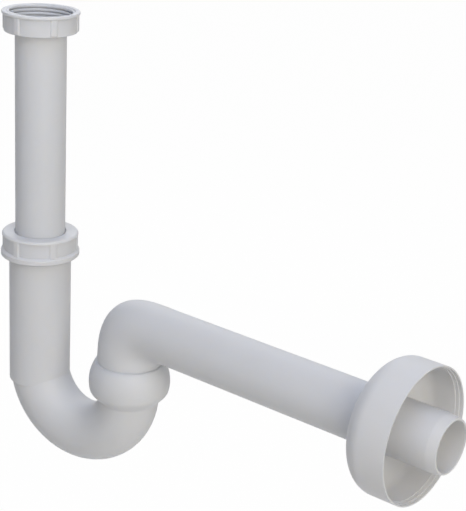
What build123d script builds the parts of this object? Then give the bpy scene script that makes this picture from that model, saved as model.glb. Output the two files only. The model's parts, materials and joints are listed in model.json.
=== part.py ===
"""Tubular trap for a wash basin: union nut, inlet tube, adjustable U-bend, swivel outlet and wall rosette.

Millimetres. The origin is the centre of the union nut's mouth, +Z is up along the inlet tube and +X runs
along the outlet pipe to the wall. Heights in the bend are measured from the level of its arc's centre.
"""
from build123d import *
from math import cos, radians, sin, sqrt, tan
import os

# Inlet tube and the union nut that hangs it on the basin waste
INLET_OD = 32.0
INLET_WALL = 1.8
INLET_LENGTH = 191.0
COLLAR_THICKNESS = 1.6
GASKET_THICKNESS = 1.8
GASKET_BORE = 30.0
UNION_THREAD_BORE = 42.0
UNION_THREAD_DEPTH = 7.0
UNION_SEAT_STEP = 1.0
UNION_FLOOR = 2.0
UNION_WALL = 1.7
UNION_RIB_RISE = 0.8
UNION_RIM_RISE = 1.4
UNION_RIM_HEIGHT = 2.0
UNION_LOWER_BEVEL = 1.0

# Grip ribs, alike on both nuts
RIB_COUNT = 6
RIB_WIDTH = 3.2
RIB_FLANK = 0.8
RIB_FIRST_ANGLE = -23.5

# Compression nut
CLAMP_NUT_HEIGHT = 15.7
CLAMP_NUT_TOP = 3.0
CLAMP_WALL = 2.35
CLAMP_HOLE_PLAY = 0.8
CLAMP_RIB_RISE = 0.8
CLAMP_SKIRT_RISE = 1.75
CLAMP_SKIRT_HEIGHT = 3.2
CLAMP_SKIRT_SLOPE = 35.0
CLAMP_SHOULDER_RISE = 1.0
CLAMP_SHOULDER_HEIGHT = 1.9
CLAMP_SHOULDER_ROUND = 1.6

# Seals
SLIP_RING_THICKNESS = 1.5
WEDGE_FLANGE = 2.0
WEDGE_DEPTH = 5.6
WEDGE_TAPER = 1.5
LIP_SEAL_HEIGHT = 10.6
LIP_SEAL_BACK = 1.7
LIP_HEIGHT = 2.0

# Trap bend: leg sleeve, U-bend and ball socket
BEND_DROP = 235.0
BEND_RADIUS = 37.8
BEND_BORE = 32.6
BEND_WALL = 2.95
BEND_TURN = 5.4
LEG_PLAY = 1.0
LEG_WALL = 3.0
LEG_TOP = 85.4
LEG_FOOT = -12.0
LEG_FOOT_ROUND = 1.8
LEG_THREAD_RISE = 0.95
LEG_THREAD_LENGTH = 10.0
LEG_SEAT_DEPTH = 7.4
BALL_LEVEL = 8.6
BALL_WALL = 2.6
SOCKET_MOUTH = 22.2
SOCKET_SHOULDER = 1.5
SOCKET_UNDERSIDE = 45.0
SOCKET_SHOULDER_ROUND = 6.0
SOCKET_SEAM_ROUND = 3.0
SOCKET_STOP = 1.6
SEAL_GROOVE_FOOT = 4.4
SEAL_GROOVE_DEPTH = 2.4

# Outlet pipe: spigot in the socket, tight elbow, straight pipe to the wall
SPIGOT_OD = 42.0
SPIGOT_WALL = 2.9
OUTLET_LEVEL = 48.1
ELBOW_INNER_ROUND = 8.0
ELBOW_FULLNESS = 3.1
ELBOW_STATIONS = 7
PIPE_OD = 34.6
PIPE_WALL = 2.4
PIPE_END_STEP = 0.3
PIPE_END_LENGTH = 40.3
PIPE_TIP = 234.3
TIP_BEVEL_LENGTH = 6.0
TIP_BEVEL_DEPTH = 1.0

# Rosette
ROSETTE_OD = 80.6
ROSETTE_WALL = 1.8
ROSETTE_TO_TIP = 16.7
ROSETTE_SKIRT = 17.0
ROSETTE_DOME = 15.5
ROSETTE_HUB = 6.0
ROSETTE_HUB_WALL = 1.5
ROSETTE_STEP = 0.5
ROSETTE_STEP_PITCH = 2.2
ROSETTE_STEPS = 2

# Clearances and edge breaks
TURNING_GAP = 0.4
SEAL_GAP = 0.25
FACE_GAP = 0.1
MOUTH_BEVEL = 0.4
EDGE = 0.6

# Radii that follow from the sizes above
inlet_r = INLET_OD / 2
union_thread_r = UNION_THREAD_BORE / 2
union_seat_r = union_thread_r - UNION_SEAT_STEP
union_panel_r = union_thread_r + UNION_WALL
collar_r = union_seat_r - TURNING_GAP
leg_bore_r = inlet_r + LEG_PLAY
leg_r = leg_bore_r + LEG_WALL
leg_thread_r = leg_r + LEG_THREAD_RISE
clamp_cavity_r = leg_thread_r + SEAL_GAP
clamp_panel_r = clamp_cavity_r + CLAMP_WALL
bend_bore_r = BEND_BORE / 2
spigot_r = SPIGOT_OD / 2
socket_bore_r = spigot_r + TURNING_GAP
groove_r = spigot_r + SEAL_GROOVE_DEPTH
ball_r = groove_r + BALL_WALL
pipe_r = PIPE_OD / 2

# Heights and places that follow
bend_level = -BEND_DROP
seal_top = LEG_TOP + FACE_GAP + WEDGE_FLANGE
ring_top = seal_top + FACE_GAP + SLIP_RING_THICKNESS
clamp_top = ring_top + FACE_GAP + CLAMP_NUT_TOP
clamp_foot = clamp_top - CLAMP_NUT_HEIGHT
collar_top = -UNION_THREAD_DEPTH - FACE_GAP - GASKET_THICKNESS
collar_foot = collar_top - COLLAR_THICKNESS
union_floor_top = collar_foot - FACE_GAP
union_foot = union_floor_top - UNION_FLOOR
corner_x = spigot_r + ELBOW_INNER_ROUND
corner_drop = pipe_r + ELBOW_INNER_ROUND
corner_level = OUTLET_LEVEL - corner_drop
socket_x = 2 * BEND_RADIUS * cos(radians(BEND_TURN))
socket_y = 2 * BEND_RADIUS * sin(radians(BEND_TURN))
on_inlet = Pos(0, 0, bend_level)
on_socket = Pos(socket_x, socket_y, bend_level)
along_pipe = Pos(0, 0, OUTLET_LEVEL) * Rot(0, 90, 0)


def turned(*profile):
    """Solid of revolution about Z from (radius, height) points."""
    return revolve(Plane.XZ * make_face(Polyline(*profile, close=True)), Axis.Z)


def ring(inner, outer, low, high):
    """Plain ring about Z between two radii and two heights."""
    return turned((inner, low), (outer, low), (outer, high), (inner, high))


def rod(radius, low, high):
    """Plain cylinder on Z between two heights."""
    return Pos(0, 0, low) * Cylinder(radius, high - low, align=(Align.CENTER, Align.CENTER, Align.MIN))


def ribbed_barrel(panel_r, rib_r, low, high):
    """Nut barrel: a round panel wall with grip ribs that stand a little proud of it."""
    top = RIB_WIDTH / 2
    foot = top + RIB_FLANK
    side = [(0, foot), (panel_r, foot), (rib_r, top)]
    bar = make_face(Polyline(*side, *[(x, -y) for x, y in reversed(side)], close=True))
    ribs = [Rot(0, 0, RIB_FIRST_ANGLE + 360 * i / RIB_COUNT) * bar for i in range(RIB_COUNT)]
    outline = (Circle(panel_r) + ribs) & Circle(rib_r)
    return Pos(0, 0, low) * extrude(outline, high - low)


def union_nut():
    """Top nut: plain rim above a ribbed barrel, bored for the basin waste's thread."""
    rim_r = union_panel_r + UNION_RIM_RISE
    rim = turned(
        (0, -UNION_RIM_HEIGHT),
        (rim_r - EDGE, -UNION_RIM_HEIGHT),
        (rim_r, EDGE - UNION_RIM_HEIGHT),
        (rim_r, 0),
        (0, 0),
    )
    rim = fillet(rim.edges().group_by(Axis.Z)[-1], EDGE)
    rib_r = union_panel_r + UNION_RIB_RISE
    barrel = ribbed_barrel(union_panel_r, rib_r, union_foot, -UNION_RIM_HEIGHT / 2)
    barrel -= turned(
        (rib_r - UNION_LOWER_BEVEL, union_foot),
        (rib_r + EDGE, union_foot),
        (rib_r + EDGE, union_foot + UNION_LOWER_BEVEL + EDGE),
    )
    bore = turned(
        (0, union_floor_top),
        (union_seat_r, union_floor_top),
        (union_seat_r, -UNION_THREAD_DEPTH),
        (union_thread_r, -UNION_THREAD_DEPTH),
        (union_thread_r, -MOUTH_BEVEL),
        (union_thread_r + MOUTH_BEVEL, 0),
        (0, 0),
    )
    return rim + barrel - bore - rod(inlet_r + TURNING_GAP, union_foot, union_floor_top)


def inlet_tube():
    """Straight tube with the collar that the union nut lifts."""
    inner = inlet_r - INLET_WALL
    foot = collar_top - INLET_LENGTH
    return turned(
        (inner, foot),
        (inlet_r - EDGE, foot),
        (inlet_r, foot + EDGE),
        (inlet_r, collar_foot),
        (collar_r, collar_foot),
        (collar_r, collar_top),
        (inner, collar_top),
    )


def union_gasket():
    """Flat seal between the collar and the basin waste."""
    return ring(GASKET_BORE / 2, collar_r, collar_top, collar_top + GASKET_THICKNESS)


def compression_nut():
    """Nut on the leg: skirt at its foot, ribbed barrel and a rounded shoulder round the tube's hole."""
    hole_r = inlet_r + CLAMP_HOLE_PLAY
    skirt_r = clamp_panel_r + CLAMP_SKIRT_RISE
    skirt_top = clamp_foot + CLAMP_SKIRT_HEIGHT
    slope_top = skirt_top + (skirt_r - hole_r) * tan(radians(CLAMP_SKIRT_SLOPE))
    barrel_top = clamp_top - CLAMP_SHOULDER_HEIGHT / 2
    barrel = ribbed_barrel(clamp_panel_r, clamp_panel_r + CLAMP_RIB_RISE, clamp_foot, barrel_top)
    skirt = turned(
        (0, clamp_foot),
        (skirt_r - EDGE, clamp_foot),
        (skirt_r, clamp_foot + EDGE),
        (skirt_r, skirt_top),
        (hole_r, slope_top),
        (0, slope_top),
    )
    shoulder = rod(clamp_panel_r + CLAMP_SHOULDER_RISE, clamp_top - CLAMP_SHOULDER_HEIGHT, clamp_top)
    shoulder = fillet(shoulder.edges().group_by(Axis.Z)[-1], CLAMP_SHOULDER_ROUND)
    cavity = rod(clamp_cavity_r, clamp_foot, ring_top + FACE_GAP)
    hole = rod(hole_r, clamp_foot, clamp_top)
    return on_inlet * (barrel + shoulder + skirt - cavity - hole)


def slip_ring():
    """Thin ring that lets the nut turn without dragging the seal round."""
    return on_inlet * ring(inlet_r + TURNING_GAP, leg_thread_r, seal_top + FACE_GAP, ring_top)


def wedge_seal():
    """Tapered seal: a flange on the leg's mouth and a wedge between leg and tube."""
    inner = inlet_r + SEAL_GAP
    flange_foot = LEG_TOP + FACE_GAP
    return on_inlet * turned(
        (inner, flange_foot - WEDGE_DEPTH),
        (leg_bore_r, flange_foot - WEDGE_DEPTH),
        (leg_bore_r + WEDGE_TAPER, flange_foot),
        (leg_thread_r, flange_foot),
        (leg_thread_r, seal_top),
        (inner, seal_top),
    )


def u_sweep(radius):
    """Half ring of round section from the leg's axis down and up to the socket's axis."""
    half = revolve(Pos(BEND_RADIUS, 0) * Circle(radius), Axis.Y, 180)
    return Rot(0, 0, BEND_TURN) * Pos(BEND_RADIUS, 0, 0) * half


def trap_bend():
    """Leg sleeve, U-bend and ball socket in one moulding."""
    sleeve = rod(leg_r, LEG_FOOT, LEG_TOP)
    sleeve = fillet(sleeve.edges().group_by(Axis.Z)[0], LEG_FOOT_ROUND)
    thread_foot = LEG_TOP - LEG_THREAD_LENGTH
    thread = turned(
        (0, thread_foot - LEG_THREAD_RISE),
        (leg_r, thread_foot - LEG_THREAD_RISE),
        (leg_thread_r, thread_foot),
        (leg_thread_r, LEG_TOP - LEG_THREAD_RISE),
        (leg_r, LEG_TOP),
        (0, LEG_TOP),
    )
    socket = Pos(socket_x, socket_y, 0)
    ball = Pos(0, 0, BALL_LEVEL) * Sphere(ball_r) & rod(2 * ball_r, SOCKET_SHOULDER, SOCKET_MOUTH)
    shoulder_r = sqrt(ball_r**2 - (BALL_LEVEL - SOCKET_SHOULDER) ** 2)
    mid_wall_r = bend_bore_r + BEND_WALL / 2
    underside_foot = SOCKET_SHOULDER - (shoulder_r - mid_wall_r) * tan(radians(SOCKET_UNDERSIDE))
    underside = turned(
        (0, underside_foot), (mid_wall_r, underside_foot), (shoulder_r, SOCKET_SHOULDER), (0, SOCKET_SHOULDER)
    )
    bend = u_sweep(bend_bore_r + BEND_WALL) + socket * (ball + underside)
    seam = bend.edges().filter_by(GeomType.BSPLINE)
    bend = fillet(seam, SOCKET_SEAM_ROUND)
    shoulder = bend.edges().filter_by_position(Axis.Z, SOCKET_SHOULDER, SOCKET_SHOULDER)
    bend = fillet(shoulder, SOCKET_SHOULDER_ROUND)
    leg_bore = turned(
        (0, 0),
        (bend_bore_r, 0),
        (leg_bore_r, leg_bore_r - bend_bore_r),
        (leg_bore_r, LEG_TOP - LEG_SEAT_DEPTH),
        (leg_bore_r + WEDGE_TAPER + SEAL_GAP, LEG_TOP),
        (0, LEG_TOP),
    )
    groove_top = SEAL_GROOVE_FOOT + LIP_SEAL_HEIGHT + 2 * FACE_GAP
    socket_bore = turned(
        (0, 0),
        (bend_bore_r, 0),
        (bend_bore_r, SOCKET_STOP),
        (socket_bore_r, SOCKET_STOP),
        (socket_bore_r, SEAL_GROOVE_FOOT),
        (groove_r, SEAL_GROOVE_FOOT),
        (groove_r, groove_top),
        (socket_bore_r, groove_top),
        (socket_bore_r, SOCKET_MOUTH),
        (0, SOCKET_MOUTH),
    )
    body = sleeve + thread + bend
    return on_inlet * (body - leg_bore - u_sweep(bend_bore_r) - socket * socket_bore)


def lip_seal():
    """Ring in the socket's groove with two lips towards the spigot."""
    outer = groove_r - FACE_GAP
    back = outer - LIP_SEAL_BACK
    lip = spigot_r + SEAL_GAP
    low = SEAL_GROOVE_FOOT + FACE_GAP
    high = low + LIP_SEAL_HEIGHT
    profile = [(back, low), (outer, low), (outer, high), (back, high)]
    for share in (0.75, 0.25):
        centre = low + share * LIP_SEAL_HEIGHT
        profile += [(back, centre + LIP_HEIGHT / 2), (lip, centre), (back, centre - LIP_HEIGHT / 2)]
    return on_socket * turned(*profile)


def elbow_rod(wide_r, narrow_r, foot, tip):
    """Upright rod, a quarter turn that narrows about the inner corner, and level rod to the tip.

    The turn's outer line is a superellipse: a fullness of 2 gives an ellipse, more a squarer corner.
    """
    sections = []
    for i in range(ELBOW_STATIONS):
        turn = radians(90 * i / (ELBOW_STATIONS - 1))
        ease = sin(turn) ** 2
        radius = wide_r + (narrow_r - wide_r) * ease
        near = (corner_x - wide_r) * (1 - ease) + (corner_drop - narrow_r) * ease
        across = cos(turn) / (corner_x + radius)
        upward = sin(turn) / (corner_drop + radius)
        far = (across**ELBOW_FULLNESS + upward**ELBOW_FULLNESS) ** (-1 / ELBOW_FULLNESS)
        outward = Vector(-cos(turn), 0, sin(turn))
        middle = Vector(corner_x, 0, corner_level) + outward * ((near + far) / 2)
        plane = Plane(middle, x_dir=outward, z_dir=(sin(turn), 0, cos(turn)))
        sections.append(plane * Ellipse((far - near) / 2, radius))
    return rod(wide_r, foot, corner_level) + loft(sections) + along_pipe * rod(narrow_r, corner_x, tip)


def outlet_pipe():
    """Spigot, elbow and pipe in one moulding, the pipe's end a little slimmer and bevelled."""
    end_r = pipe_r - PIPE_END_STEP
    end_start = PIPE_TIP - PIPE_END_LENGTH
    end = turned(
        (0, end_start),
        (end_r, end_start),
        (end_r, PIPE_TIP - TIP_BEVEL_LENGTH),
        (end_r - TIP_BEVEL_DEPTH, PIPE_TIP),
        (0, PIPE_TIP),
    )
    foot = SOCKET_STOP + TURNING_GAP
    outer = elbow_rod(spigot_r, pipe_r, foot, end_start) + along_pipe * end
    bore = elbow_rod(spigot_r - SPIGOT_WALL, pipe_r - PIPE_WALL, foot, PIPE_TIP)
    return on_socket * (outer - bore)


def rosette():
    """Bell over the hole in the wall: hub on the pipe, elliptical dome, skirt with stepped inner edge."""
    hole_r = pipe_r + TURNING_GAP
    hub_r = hole_r + ROSETTE_HUB_WALL
    rim_r = ROSETTE_OD / 2
    rim = PIPE_TIP - ROSETTE_TO_TIP
    dome_front = rim - ROSETTE_SKIRT
    dome_back = dome_front - ROSETTE_DOME
    hub_back = dome_back - ROSETTE_HUB
    inner_r = rim_r - ROSETTE_WALL
    centre = (hub_r, dome_front)
    outer_dome = EllipticalCenterArc(centre, rim_r - hub_r, ROSETTE_DOME, -90, arc_size=90)
    inner_dome = EllipticalCenterArc(centre, inner_r - hub_r, ROSETTE_DOME - ROSETTE_WALL, -90, arc_size=90)
    steps = [(inner_r, dome_front)]
    for i in range(ROSETTE_STEPS):
        edge = rim - (ROSETTE_STEPS - i) * ROSETTE_STEP_PITCH
        steps += [(inner_r + i * ROSETTE_STEP, edge), (inner_r + (i + 1) * ROSETTE_STEP, edge)]
    steps += [(inner_r + ROSETTE_STEPS * ROSETTE_STEP, rim), (rim_r, rim), (rim_r, dome_front)]
    hub = Polyline(
        (hub_r, dome_back),
        (hub_r, hub_back),
        (hole_r, hub_back),
        (hole_r, dome_back + ROSETTE_WALL),
        (hub_r, dome_back + ROSETTE_WALL),
    )
    section = make_face(outer_dome + hub + inner_dome + Polyline(*steps))
    return on_socket * along_pipe * revolve(Plane.XZ * section, Axis.Z)


parts = {
    "union_nut": union_nut,
    "inlet_tube": inlet_tube,
    "union_gasket": union_gasket,
    "compression_nut": compression_nut,
    "slip_ring": slip_ring,
    "wedge_seal": wedge_seal,
    "trap_bend": trap_bend,
    "lip_seal": lip_seal,
    "outlet_pipe": outlet_pipe,
    "rosette": rosette,
}
os.makedirs("parts", exist_ok=True)
for name, make in parts.items():
    export_step(make(), f"parts/{name}.step")
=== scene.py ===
"""Looks of a white tubular trap: plastic and rubber on the parts, the small mouldings and a white stage."""
import json
from math import atan2, cos, hypot, pi, radians, sin

import bmesh
import bpy
from mathutils import Matrix, Vector


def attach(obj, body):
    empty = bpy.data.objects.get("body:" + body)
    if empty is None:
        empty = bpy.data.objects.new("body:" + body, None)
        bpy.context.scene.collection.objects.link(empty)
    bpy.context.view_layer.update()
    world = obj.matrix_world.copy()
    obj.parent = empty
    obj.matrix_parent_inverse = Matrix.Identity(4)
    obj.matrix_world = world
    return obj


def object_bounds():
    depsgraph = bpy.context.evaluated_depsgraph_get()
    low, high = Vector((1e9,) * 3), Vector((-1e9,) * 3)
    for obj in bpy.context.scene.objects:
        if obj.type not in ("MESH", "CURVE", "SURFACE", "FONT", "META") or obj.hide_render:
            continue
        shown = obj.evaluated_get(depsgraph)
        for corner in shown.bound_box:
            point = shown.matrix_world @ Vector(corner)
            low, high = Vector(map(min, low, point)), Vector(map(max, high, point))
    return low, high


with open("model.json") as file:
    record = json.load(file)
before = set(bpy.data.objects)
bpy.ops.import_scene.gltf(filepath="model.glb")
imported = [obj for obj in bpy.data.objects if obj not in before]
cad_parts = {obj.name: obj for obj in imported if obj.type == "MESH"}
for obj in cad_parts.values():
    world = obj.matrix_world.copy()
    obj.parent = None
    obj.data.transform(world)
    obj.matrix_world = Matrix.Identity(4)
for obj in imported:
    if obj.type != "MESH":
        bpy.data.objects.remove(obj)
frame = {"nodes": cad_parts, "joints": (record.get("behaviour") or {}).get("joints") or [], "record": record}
CAD_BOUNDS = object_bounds()

bl_info = {
    "name": "Tubular trap",
    "version": (1, 0, 0),
    "blender": (4, 5, 0),
    "location": "View3D > Sidebar > Trap",
    "description": "Finishes, small mouldings and stage for a white tubular trap",
    "category": "Object",
}

MM = 0.001
MOULDED_NODES = ("union_nut", "compression_nut", "trap_bend", "outlet_pipe", "rosette", "slip_ring")
EXTRUDED_NODES = ("inlet_tube",)
SEAL_NODES = ("wedge_seal", "lip_seal")
GASKET_NODES = ("union_gasket",)

# Sizes that the frame gives
MOUNTS = {mount["name"]: mount for mount in frame["record"]["mounts"]}
JOINTS = {joint["name"]: joint for joint in frame["joints"]}
THREAD_ROOT = MOUNTS["inlet_union"]["dims"]["r_mm"] * MM
SOCKET_AXIS = Vector(JOINTS["outlet_swivel"]["pos_m"])
NUT_AXIS = Vector(JOINTS["compression_turn"]["pos_m"])

# Plastic: length of the flow marks in millimetres, spread of the roughness, strength of the grain's bump
MOULDED_FLOW_MM = 28
TUBE_FLOW_MM = 40
ROUGHNESS_SPREAD = 0.05
PLASTIC_BUMP = 0.6

# Rubber: sizes of its bloom and grain in millimetres, how much the bloom lightens it, height of the grain
BLOOM_MM = 3
RUBBER_GRAIN_MM = 0.4
BLOOM_GAIN = 1.25
RUBBER_RELIEF = 0.03 * MM
RUBBER_BUMP = 0.5

# Sockets of a Mix node that mixes colours
MIX_SHARE = 0
MIX_FIRST = 6
MIX_SECOND = 7
MIX_RESULT = 2

# Thread ridge: foot sunk in the bore's wall, half of the foot's width as a share of the pitch, rounding of
# the crest towards the wall and sideways, share of the height that is left at the faded ends
RIDGE_SINK = 0.1 * MM
RIDGE_HALF_FOOT = 0.47
CREST_ROUND_BACK = 0.2 * MM
CREST_ROUND_SIDE = 0.1 * MM
RIDGE_END_SHARE = 0.05

# Socket lip: radius within which the socket's mouth is the highest place of the bend, and the lip's outer
# edge above and below the mouth
SOCKET_REACH = 23 * MM
LIP_EDGE_ABOVE = 0.03 * MM
LIP_EDGE_BELOW = 0.3 * MM

# Turned rings and mouldings: how near two places count as one, steps in a turn, angle of a sharp edge
SAME_PLACE = 0.01 * MM
RING_STEPS = 128
SHARP_ANGLE = radians(35)

# Lamps round the trap: size in metres, power in watts, colour, turn to the right of the camera and height
# above the horizon in degrees, distance in metres
LAMPS = {
    "key": (1.0, 11.8, "#FFF9EC", 21, 22, 1.5),
    "top": (0.7, 2.9, "#DEE7FF", -10, 64, 0.85),
    "back": (1.2, 6, "#FFFFFF", 186, 32, 1.5),
}

# Half the floor's side and the farthest that the camera sees, in metres
FLOOR_REACH = 8
CLIP_END = 50


def linear(hex_colour):
    """Linear RGBA of an sRGB hex colour."""
    channels = [int(hex_colour[i:i + 2], 16) / 255 for i in (1, 3, 5)]
    return [c / 12.92 if c <= 0.04045 else ((c + 0.055) / 1.055) ** 2.4 for c in channels] + [1.0]


def per_metre(size_mm):
    """Texture scale that gives a pattern its real size in millimetres."""
    return 1000 / size_mm


def add_node(tree, kind, settings=None, links=None):
    """Adds one node: settings go to its sockets or properties, links join other nodes' outputs to it."""
    node = tree.nodes.new(kind)
    for name, value in (settings or {}).items():
        if isinstance(name, int) or name in node.inputs:
            node.inputs[name].default_value = value
        else:
            setattr(node, name, value)
    for name, output in (links or {}).items():
        tree.links.new(output, node.inputs[name])
    return node


def new_tree(name):
    """A new material and its empty node tree."""
    material = bpy.data.materials.new(name)
    material.use_nodes = True
    material.node_tree.nodes.clear()
    return material, material.node_tree


class TrapFinish(bpy.types.PropertyGroup):
    """Colours and surface of the plastic and the rubber."""

    plastic: bpy.props.FloatVectorProperty(
        name="Plastic", description="White of the moulded plastic", subtype="COLOR", size=4,
        min=0, max=1, default=linear("#DADBDE"))
    plastic_shade: bpy.props.FloatVectorProperty(
        name="Plastic shade", description="Slightly darker tone of the plastic's flow marks",
        subtype="COLOR", size=4, min=0, max=1, default=linear("#D5D6D9"))
    plastic_roughness: bpy.props.FloatProperty(
        name="Plastic roughness", description="Roughness of the satin moulded surface", subtype="FACTOR",
        min=0, max=1, default=0.48)
    grain: bpy.props.FloatProperty(
        name="Tool grain", description="Grain of the moulding tool's surface, in millimetres",
        min=0.1, max=5, default=0.7)
    relief: bpy.props.FloatProperty(
        name="Grain relief", description="Height of the tool's grain", unit="LENGTH", min=0,
        default=0.02 * MM)
    rubber: bpy.props.FloatVectorProperty(
        name="Rubber", description="Grey of the hidden seals", subtype="COLOR", size=4, min=0, max=1,
        default=linear("#4A4C50"))
    gasket: bpy.props.FloatVectorProperty(
        name="Gasket", description="Pale grey of the flat gasket in the union nut", subtype="COLOR", size=4,
        min=0, max=1, default=linear("#B4B6B9"))


class TrapThread(bpy.types.PropertyGroup):
    """The pipe thread in the union nut."""

    pitch: bpy.props.FloatProperty(
        name="Pitch", description="Distance from turn to turn", unit="LENGTH", default=2.309 * MM)
    depth: bpy.props.FloatProperty(
        name="Depth", description="Height of the ridge above the bore", unit="LENGTH", default=1.45 * MM)
    crest: bpy.props.FloatProperty(
        name="Crest", description="Width of the ridge's rounded top", unit="LENGTH", default=1.25 * MM)
    foot: bpy.props.FloatProperty(
        name="Foot", description="Lowest turn's middle, below the mouth", unit="LENGTH", default=6.95 * MM)
    turns: bpy.props.FloatProperty(
        name="Turns", description="Length of the ridge in turns", min=1, default=3)
    bore_length: bpy.props.FloatProperty(
        name="Bore length", description="From the mouth down to the gasket's seat", unit="LENGTH",
        default=7 * MM)
    end_margin: bpy.props.FloatProperty(
        name="End margin", description="Left free of the ridge at both ends of the bore", unit="LENGTH",
        default=0.03 * MM)
    run_out: bpy.props.FloatProperty(
        name="Run-out", description="Share of a turn in which the ridge fades at each end",
        subtype="FACTOR", min=0.01, max=0.5, default=0.12)
    start: bpy.props.FloatProperty(
        name="Start", description="Where the lowest turn begins, round the nut", subtype="ANGLE",
        default=radians(308))
    steps: bpy.props.IntProperty(
        name="Steps", description="Steps in one turn", min=24, default=96)


class TrapSocketLip(bpy.types.PropertyGroup):
    """The thin lip that closes the ball socket on the outlet's spigot."""

    inner: bpy.props.FloatProperty(
        name="Inner radius", description="Radius at the spigot", unit="LENGTH", default=21.03 * MM)
    margin: bpy.props.FloatProperty(
        name="Margin", description="From the socket's outer edge in to the lip", unit="LENGTH",
        default=0.05 * MM)
    rise: bpy.props.FloatProperty(
        name="Rise", description="From the socket's mouth up to the lip's edge", unit="LENGTH",
        default=0.45 * MM)
    depth: bpy.props.FloatProperty(
        name="Depth", description="How far the lip reaches into the socket", unit="LENGTH",
        default=1.2 * MM)


class TrapNutLip(bpy.types.PropertyGroup):
    """The thin lip that closes the compression nut's hole on the inlet tube."""

    inner: bpy.props.FloatProperty(
        name="Inner radius", description="Radius at the inlet tube", unit="LENGTH", default=16.08 * MM)
    bite: bpy.props.FloatProperty(
        name="Bite", description="How far the lip reaches into the hole's wall", unit="LENGTH",
        default=0.1 * MM)
    sink: bpy.props.FloatProperty(
        name="Sink", description="From the hole's upper edge down to the lip", unit="LENGTH",
        default=0.9 * MM)
    depth: bpy.props.FloatProperty(
        name="Depth", description="Thickness of the lip", unit="LENGTH", default=0.5 * MM)


class TrapStage(bpy.types.PropertyGroup):
    """Camera, floor and even light."""

    target: bpy.props.FloatVectorProperty(
        name="Target", description="Point that the camera looks at", subtype="TRANSLATION", unit="LENGTH",
        default=(80.5 * MM, 100.3 * MM, -163.7 * MM))
    distance: bpy.props.FloatProperty(
        name="Distance", description="From the target to the camera", unit="LENGTH", default=950 * MM)
    azimuth: bpy.props.FloatProperty(
        name="Azimuth", description="Turn of the view to the right of the front", subtype="ANGLE",
        default=radians(38.33))
    elevation: bpy.props.FloatProperty(
        name="Elevation", description="Height of the view above the horizon", subtype="ANGLE",
        default=radians(20.17))
    roll: bpy.props.FloatProperty(
        name="Roll", description="Turn of the camera about its own axis", subtype="ANGLE",
        default=radians(3.05))
    lens: bpy.props.FloatProperty(
        name="Lens", description="Focal length on a 36 mm frame, in millimetres", default=99.73)
    floor_drop: bpy.props.FloatProperty(
        name="Floor drop", description="From the trap's lowest point to the floor", unit="LENGTH",
        default=250 * MM)
    floor: bpy.props.FloatVectorProperty(
        name="Floor", description="White of the floor", subtype="COLOR", size=4, min=0, max=1,
        default=linear("#F0F0F0"))
    floor_glow: bpy.props.FloatProperty(
        name="Floor glow", description="Share of plain white in the floor that the camera sees",
        subtype="FACTOR", min=0, max=1, default=0.985)
    ambient: bpy.props.FloatProperty(
        name="Ambient", description="Strength of the even light from all round", min=0, default=0.25)


def plastic_material(name, finish, flow_mm):
    """Polypropylene from a polished steel tool: satin white, with faint flow marks and a fine tool grain."""
    material, tree = new_tree(name)
    place = add_node(tree, "ShaderNodeTexCoord").outputs["Object"]
    flow = add_node(tree, "ShaderNodeTexNoise", {"Scale": per_metre(flow_mm), "Detail": 2.0},
                    {"Vector": place})
    tone = add_node(tree, "ShaderNodeMix",
                    {"data_type": "RGBA", MIX_FIRST: finish.plastic_shade, MIX_SECOND: finish.plastic},
                    {MIX_SHARE: flow.outputs["Fac"]})
    # the real grain is finer still; it is drawn as coarse as it needs to show
    grain = add_node(tree, "ShaderNodeTexNoise", {"Scale": per_metre(finish.grain), "Detail": 3.0},
                     {"Vector": place})
    rough = add_node(tree, "ShaderNodeMapRange",
                     {"To Min": finish.plastic_roughness - ROUGHNESS_SPREAD,
                      "To Max": finish.plastic_roughness + ROUGHNESS_SPREAD},
                     {"Value": grain.outputs["Fac"]})
    bump = add_node(tree, "ShaderNodeBump", {"Strength": PLASTIC_BUMP, "Distance": finish.relief},
                    {"Height": grain.outputs["Fac"]})
    # a little light passes through the thin walls and comes out warmer
    body = {"IOR": 1.49, "Specular IOR Level": 0.3, "Subsurface Weight": 0.35,
            "Subsurface Radius": (1.0, 0.85, 0.65), "Subsurface Scale": 6 * MM}
    shader = add_node(tree, "ShaderNodeBsdfPrincipled", body,
                      {"Base Color": tone.outputs[MIX_RESULT], "Roughness": rough.outputs["Result"],
                       "Normal": bump.outputs["Normal"]})
    add_node(tree, "ShaderNodeOutputMaterial", links={"Surface": shader.outputs["BSDF"]})
    return material


def rubber_material(name, colour):
    """Moulded rubber: matt, with a fine bloom that lightens it in patches."""
    material, tree = new_tree(name)
    place = add_node(tree, "ShaderNodeTexCoord").outputs["Object"]
    bloom = add_node(tree, "ShaderNodeTexNoise", {"Scale": per_metre(BLOOM_MM), "Detail": 4.0},
                     {"Vector": place})
    light = [min(1.0, c * BLOOM_GAIN) for c in colour[:3]] + [1.0]
    tone = add_node(tree, "ShaderNodeMix", {"data_type": "RGBA", MIX_FIRST: colour, MIX_SECOND: light},
                    {MIX_SHARE: bloom.outputs["Fac"]})
    grain = add_node(tree, "ShaderNodeTexNoise", {"Scale": per_metre(RUBBER_GRAIN_MM), "Detail": 2.0},
                     {"Vector": place})
    bump = add_node(tree, "ShaderNodeBump", {"Strength": RUBBER_BUMP, "Distance": RUBBER_RELIEF},
                    {"Height": grain.outputs["Fac"]})
    shader = add_node(tree, "ShaderNodeBsdfPrincipled", {"IOR": 1.52, "Roughness": 0.75},
                      {"Base Color": tone.outputs[MIX_RESULT], "Normal": bump.outputs["Normal"]})
    add_node(tree, "ShaderNodeOutputMaterial", links={"Surface": shader.outputs["BSDF"]})
    return material


def dress(nodes, material):
    """Puts one material on CAD parts."""
    for name in nodes:
        mesh = frame["nodes"][name].data
        mesh.materials.clear()
        mesh.materials.append(material)


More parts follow.
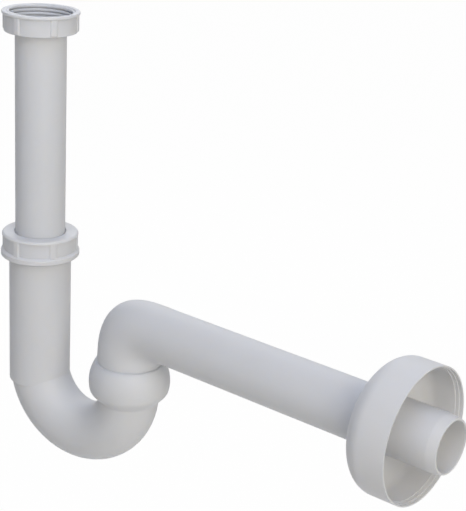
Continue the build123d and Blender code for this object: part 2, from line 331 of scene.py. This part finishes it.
def add_moulding(context, name, shape, body):
    """Makes a finished shape a piece of white plastic that rides on a body."""
    bmesh.ops.recalc_face_normals(shape, faces=shape.faces)
    mesh = bpy.data.meshes.new(name)
    shape.to_mesh(mesh)
    shape.free()
    mesh.shade_smooth()
    mesh.set_sharp_from_angle(angle=SHARP_ANGLE)
    mesh.materials.append(bpy.data.materials["moulded_polypropylene"])
    piece = bpy.data.objects.new(name, mesh)
    context.scene.collection.objects.link(piece)
    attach(piece, body)


class TRAP_OT_plastic(bpy.types.Operator):
    """Give the white parts their moulded plastic"""

    bl_idname = "trap.plastic"
    bl_label = "Plastic parts"

    def execute(self, context):
        finish = context.scene.trap_finish
        dress(MOULDED_NODES, plastic_material("moulded_polypropylene", finish, MOULDED_FLOW_MM))
        dress(EXTRUDED_NODES, plastic_material("tube_polypropylene", finish, TUBE_FLOW_MM))
        return {"FINISHED"}


class TRAP_OT_seals(bpy.types.Operator):
    """Give the seals their rubber"""

    bl_idname = "trap.seals"
    bl_label = "Seals"

    def execute(self, context):
        finish = context.scene.trap_finish
        dress(SEAL_NODES, rubber_material("moulded_rubber", finish.rubber))
        dress(GASKET_NODES, rubber_material("pale_moulded_rubber", finish.gasket))
        return {"FINISHED"}


class TRAP_OT_thread(bpy.types.Operator):
    """Wind the ridge of the pipe thread in the union nut"""

    bl_idname = "trap.thread"
    bl_label = "Union thread"

    def execute(self, context):
        thread = context.scene.trap_thread
        root = THREAD_ROOT + RIDGE_SINK
        crest = THREAD_ROOT - thread.depth
        shoulder = crest + CREST_ROUND_BACK
        half_foot = thread.pitch * RIDGE_HALF_FOOT
        half_crest = thread.crest / 2
        half_shoulder = half_crest + CREST_ROUND_SIDE
        profile = [
            (root, -half_foot),
            (shoulder, -half_shoulder),
            (crest, -half_crest / 2),
            (crest, half_crest / 2),
            (shoulder, half_shoulder),
            (root, half_foot),
        ]
        shape = bmesh.new()
        shape.faces.new([shape.verts.new((r, 0, z - thread.foot)) for r, z in profile])
        steps = round(thread.turns * thread.steps)
        climb = (0, 0, thread.pitch * thread.turns / steps)
        bmesh.ops.spin(shape, geom=shape.faces[:], cent=(0, 0, 0), axis=(0, 0, 1), dvec=climb,
                       angle=thread.turns * 2 * pi, steps=steps, use_merge=False)
        self.fade_ends(shape, thread, root)
        bmesh.ops.rotate(shape, cent=(0, 0, 0), matrix=Matrix.Rotation(thread.start, 3, "Z"),
                         verts=shape.verts)
        add_moulding(context, "union_thread", shape, "union_nut")
        return {"FINISHED"}

    def fade_ends(self, shape, thread, root):
        """Sinks the ridge into the bore at both ends and cuts it off at the mouth and the seat."""
        highest = -thread.end_margin
        lowest = thread.end_margin - thread.bore_length
        for vert in shape.verts:
            part_turn = (atan2(vert.co.y, vert.co.x) / (2 * pi)) % 1
            climb = (vert.co.z + thread.foot) / thread.pitch
            turn = part_turn + round(climb - part_turn)
            to_end = min(turn, thread.turns - turn)
            rise = max(RIDGE_END_SHARE, min(1.0, to_end / thread.run_out))
            radius = hypot(vert.co.x, vert.co.y)
            scale = (root - (root - radius) * rise) / radius
            vert.co.x *= scale
            vert.co.y *= scale
            vert.co.z = max(lowest, min(highest, vert.co.z))


def radii_and_heights(node, axis):
    """Distance from an upright axis and height of each point of a CAD part."""
    points = [vert.co for vert in frame["nodes"][node].data.vertices]
    return [(hypot(p.x - axis.x, p.y - axis.y), p.z) for p in points]


def turned_ring(profile, axis):
    """Turns a closed profile of radii and heights about an upright axis."""
    shape = bmesh.new()
    corners = [shape.verts.new((axis.x + r, axis.y, z)) for r, z in profile]
    for first, second in zip(corners, corners[1:] + corners[:1]):
        shape.edges.new((first, second))
    bmesh.ops.spin(shape, geom=shape.verts[:] + shape.edges[:], cent=axis, axis=(0, 0, 1), angle=2 * pi,
                   steps=RING_STEPS, use_merge=True)
    return shape


class TRAP_OT_lips(bpy.types.Operator):
    """Turn the thin lips in the ball socket's mouth and in the compression nut's hole"""

    bl_idname = "trap.lips"
    bl_label = "Lips"

    def execute(self, context):
        self.socket_lip(context, context.scene.trap_socket_lip)
        self.nut_lip(context, context.scene.trap_nut_lip)
        return {"FINISHED"}

    def socket_lip(self, context, lip):
        """Slopes from the spigot down to the outer edge of the socket's mouth."""
        spots = [(r, z) for r, z in radii_and_heights("trap_bend", SOCKET_AXIS) if r < SOCKET_REACH]
        mouth = max(z for r, z in spots)
        outer = max(r for r, z in spots if z > mouth - SAME_PLACE) - lip.margin
        profile = [
            (lip.inner, mouth + lip.rise),
            (outer, mouth + LIP_EDGE_ABOVE),
            (outer, mouth - LIP_EDGE_BELOW),
            (lip.inner, mouth - lip.depth),
        ]
        add_moulding(context, "socket_lip", turned_ring(profile, SOCKET_AXIS), "trap")

    def nut_lip(self, context, lip):
        """Lies flat in the nut's hole, a little below the hole's upper edge."""
        spots = radii_and_heights("compression_nut", NUT_AXIS)
        hole = min(r for r, z in spots)
        top = max(z for r, z in spots if r < hole + SAME_PLACE) - lip.sink
        foot = top - lip.depth
        outer = hole + lip.bite
        profile = [(lip.inner, top), (outer, top), (outer, foot), (lip.inner, foot)]
        add_moulding(context, "nut_lip", turned_ring(profile, NUT_AXIS), "compression_nut")


def white_to_camera(tree, lit, share):
    """Mixes a lit shader with plain white where the camera, a reflection or a clear part shows it."""
    path = add_node(tree, "ShaderNodeLightPath")
    seen = path.outputs["Is Camera Ray"]
    for ray in ("Is Glossy Ray", "Is Transmission Ray"):
        joined = add_node(tree, "ShaderNodeMath", {"operation": "MAXIMUM"}, {0: seen, 1: path.outputs[ray]})
        seen = joined.outputs[0]
    seen = add_node(tree, "ShaderNodeMath", {"operation": "MULTIPLY", 1: share}, {0: seen}).outputs[0]
    kind = "ShaderNodeBackground" if lit.bl_idname == "ShaderNodeBackground" else "ShaderNodeEmission"
    white = add_node(tree, kind, {"Color": (1, 1, 1, 1), "Strength": 1.0})
    return add_node(tree, "ShaderNodeMixShader", {}, {0: seen, 1: lit.outputs[0], 2: white.outputs[0]})


class TRAP_OT_stage(bpy.types.Operator):
    """Set the white floor, the soft lamps and the camera"""

    bl_idname = "trap.stage"
    bl_label = "Stage"

    def execute(self, context):
        stage = context.scene.trap_stage
        self.floor(context, stage)
        self.world(context, stage)
        for name, settings in LAMPS.items():
            self.lamp(context, stage, name, *settings)
        self.camera(context, stage)
        return {"FINISHED"}

    def floor(self, context, stage):
        """White floor, well below the trap."""
        shape = bmesh.new()
        bmesh.ops.create_grid(shape, x_segments=1, y_segments=1, size=FLOOR_REACH)
        bmesh.ops.translate(shape, vec=(0, 0, CAD_BOUNDS[0][2] - stage.floor_drop), verts=shape.verts)
        mesh = bpy.data.meshes.new("floor")
        shape.to_mesh(mesh)
        shape.free()
        material, tree = new_tree("white_paper")
        lit = add_node(tree, "ShaderNodeBsdfDiffuse", {"Color": stage.floor})
        mixed = white_to_camera(tree, lit, stage.floor_glow)
        add_node(tree, "ShaderNodeOutputMaterial", links={"Surface": mixed.outputs[0]})
        mesh.materials.append(material)
        floor = bpy.data.objects.new("floor", mesh)
        context.scene.collection.objects.link(floor)

    def world(self, context, stage):
        """Even light from all round, white where the camera sees it, and the plain view transform."""
        world = bpy.data.worlds.new("studio")
        world.use_nodes = True
        tree = world.node_tree
        tree.nodes.clear()
        lit = add_node(tree, "ShaderNodeBackground", {"Color": (1, 1, 1, 1), "Strength": stage.ambient})
        mixed = white_to_camera(tree, lit, 1.0)
        add_node(tree, "ShaderNodeOutputWorld", links={"Surface": mixed.outputs[0]})
        context.scene.world = world
        context.scene.view_settings.view_transform = "Standard"

    def lamp(self, context, stage, name, size, power, colour, turn, height, distance):
        """A square soft box that points at the trap's middle."""
        centre = (Vector(CAD_BOUNDS[0]) + Vector(CAD_BOUNDS[1])) / 2
        side = stage.azimuth + radians(turn)
        level = Vector((sin(side), -cos(side), 0)) * cos(radians(height))
        place = centre + (level + Vector((0, 0, sin(radians(height))))) * distance
        lamp = bpy.data.lights.new(name, "AREA")
        lamp.size = size
        lamp.energy = power
        lamp.color = linear(colour)[:3]
        box = bpy.data.objects.new(name, lamp)
        box.location = place
        box.rotation_euler = (centre - place).to_track_quat("-Z", "Y").to_euler()
        context.scene.collection.objects.link(box)

    def camera(self, context, stage):
        """Camera at the photograph's angle."""
        data = bpy.data.cameras.new("camera")
        data.lens = stage.lens
        data.clip_end = CLIP_END
        camera = bpy.data.objects.new("camera", data)
        turn = Matrix.Rotation(stage.azimuth, 4, "Z") @ Matrix.Rotation(pi / 2 - stage.elevation, 4, "X")
        back = Matrix.Translation((0, 0, stage.distance)) @ Matrix.Rotation(stage.roll, 4, "Z")
        camera.matrix_world = Matrix.Translation(stage.target) @ turn @ back
        context.scene.collection.objects.link(camera)
        context.scene.camera = camera


class TRAP_PT_panel(bpy.types.Panel):
    """Lists the trap's settings and the steps that dress it"""

    bl_idname = "TRAP_PT_panel"
    bl_label = "Tubular trap"
    bl_space_type = "VIEW_3D"
    bl_region_type = "UI"
    bl_category = "Trap"

    def draw(self, context):
        for group in GROUPS:
            settings = getattr(context.scene, group)
            for name in settings.bl_rna.properties.keys():
                if name not in ("rna_type", "name"):
                    self.layout.prop(settings, name)
        for operator in OPERATORS:
            self.layout.operator(operator.bl_idname)


OPERATORS = (TRAP_OT_plastic, TRAP_OT_seals, TRAP_OT_thread, TRAP_OT_lips, TRAP_OT_stage)
GROUPS = {
    "trap_finish": TrapFinish,
    "trap_thread": TrapThread,
    "trap_socket_lip": TrapSocketLip,
    "trap_nut_lip": TrapNutLip,
    "trap_stage": TrapStage,
}


def register():
    """Registers the classes and gives the scene their settings."""
    for cls in (*GROUPS.values(), *OPERATORS, TRAP_PT_panel):
        bpy.utils.register_class(cls)
    for name, group in GROUPS.items():
        setattr(bpy.types.Scene, name, bpy.props.PointerProperty(type=group))


def unregister():
    """Takes back what register did."""
    for name in GROUPS:
        delattr(bpy.types.Scene, name)
    for cls in (TRAP_PT_panel, *reversed(OPERATORS), *reversed(GROUPS.values())):
        bpy.utils.unregister_class(cls)


def main():
    """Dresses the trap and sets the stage."""
    register()
    bpy.ops.trap.plastic()
    bpy.ops.trap.seals()
    bpy.ops.trap.thread()
    bpy.ops.trap.lips()
    bpy.ops.trap.stage()


if __name__ == "__main__":
    main()
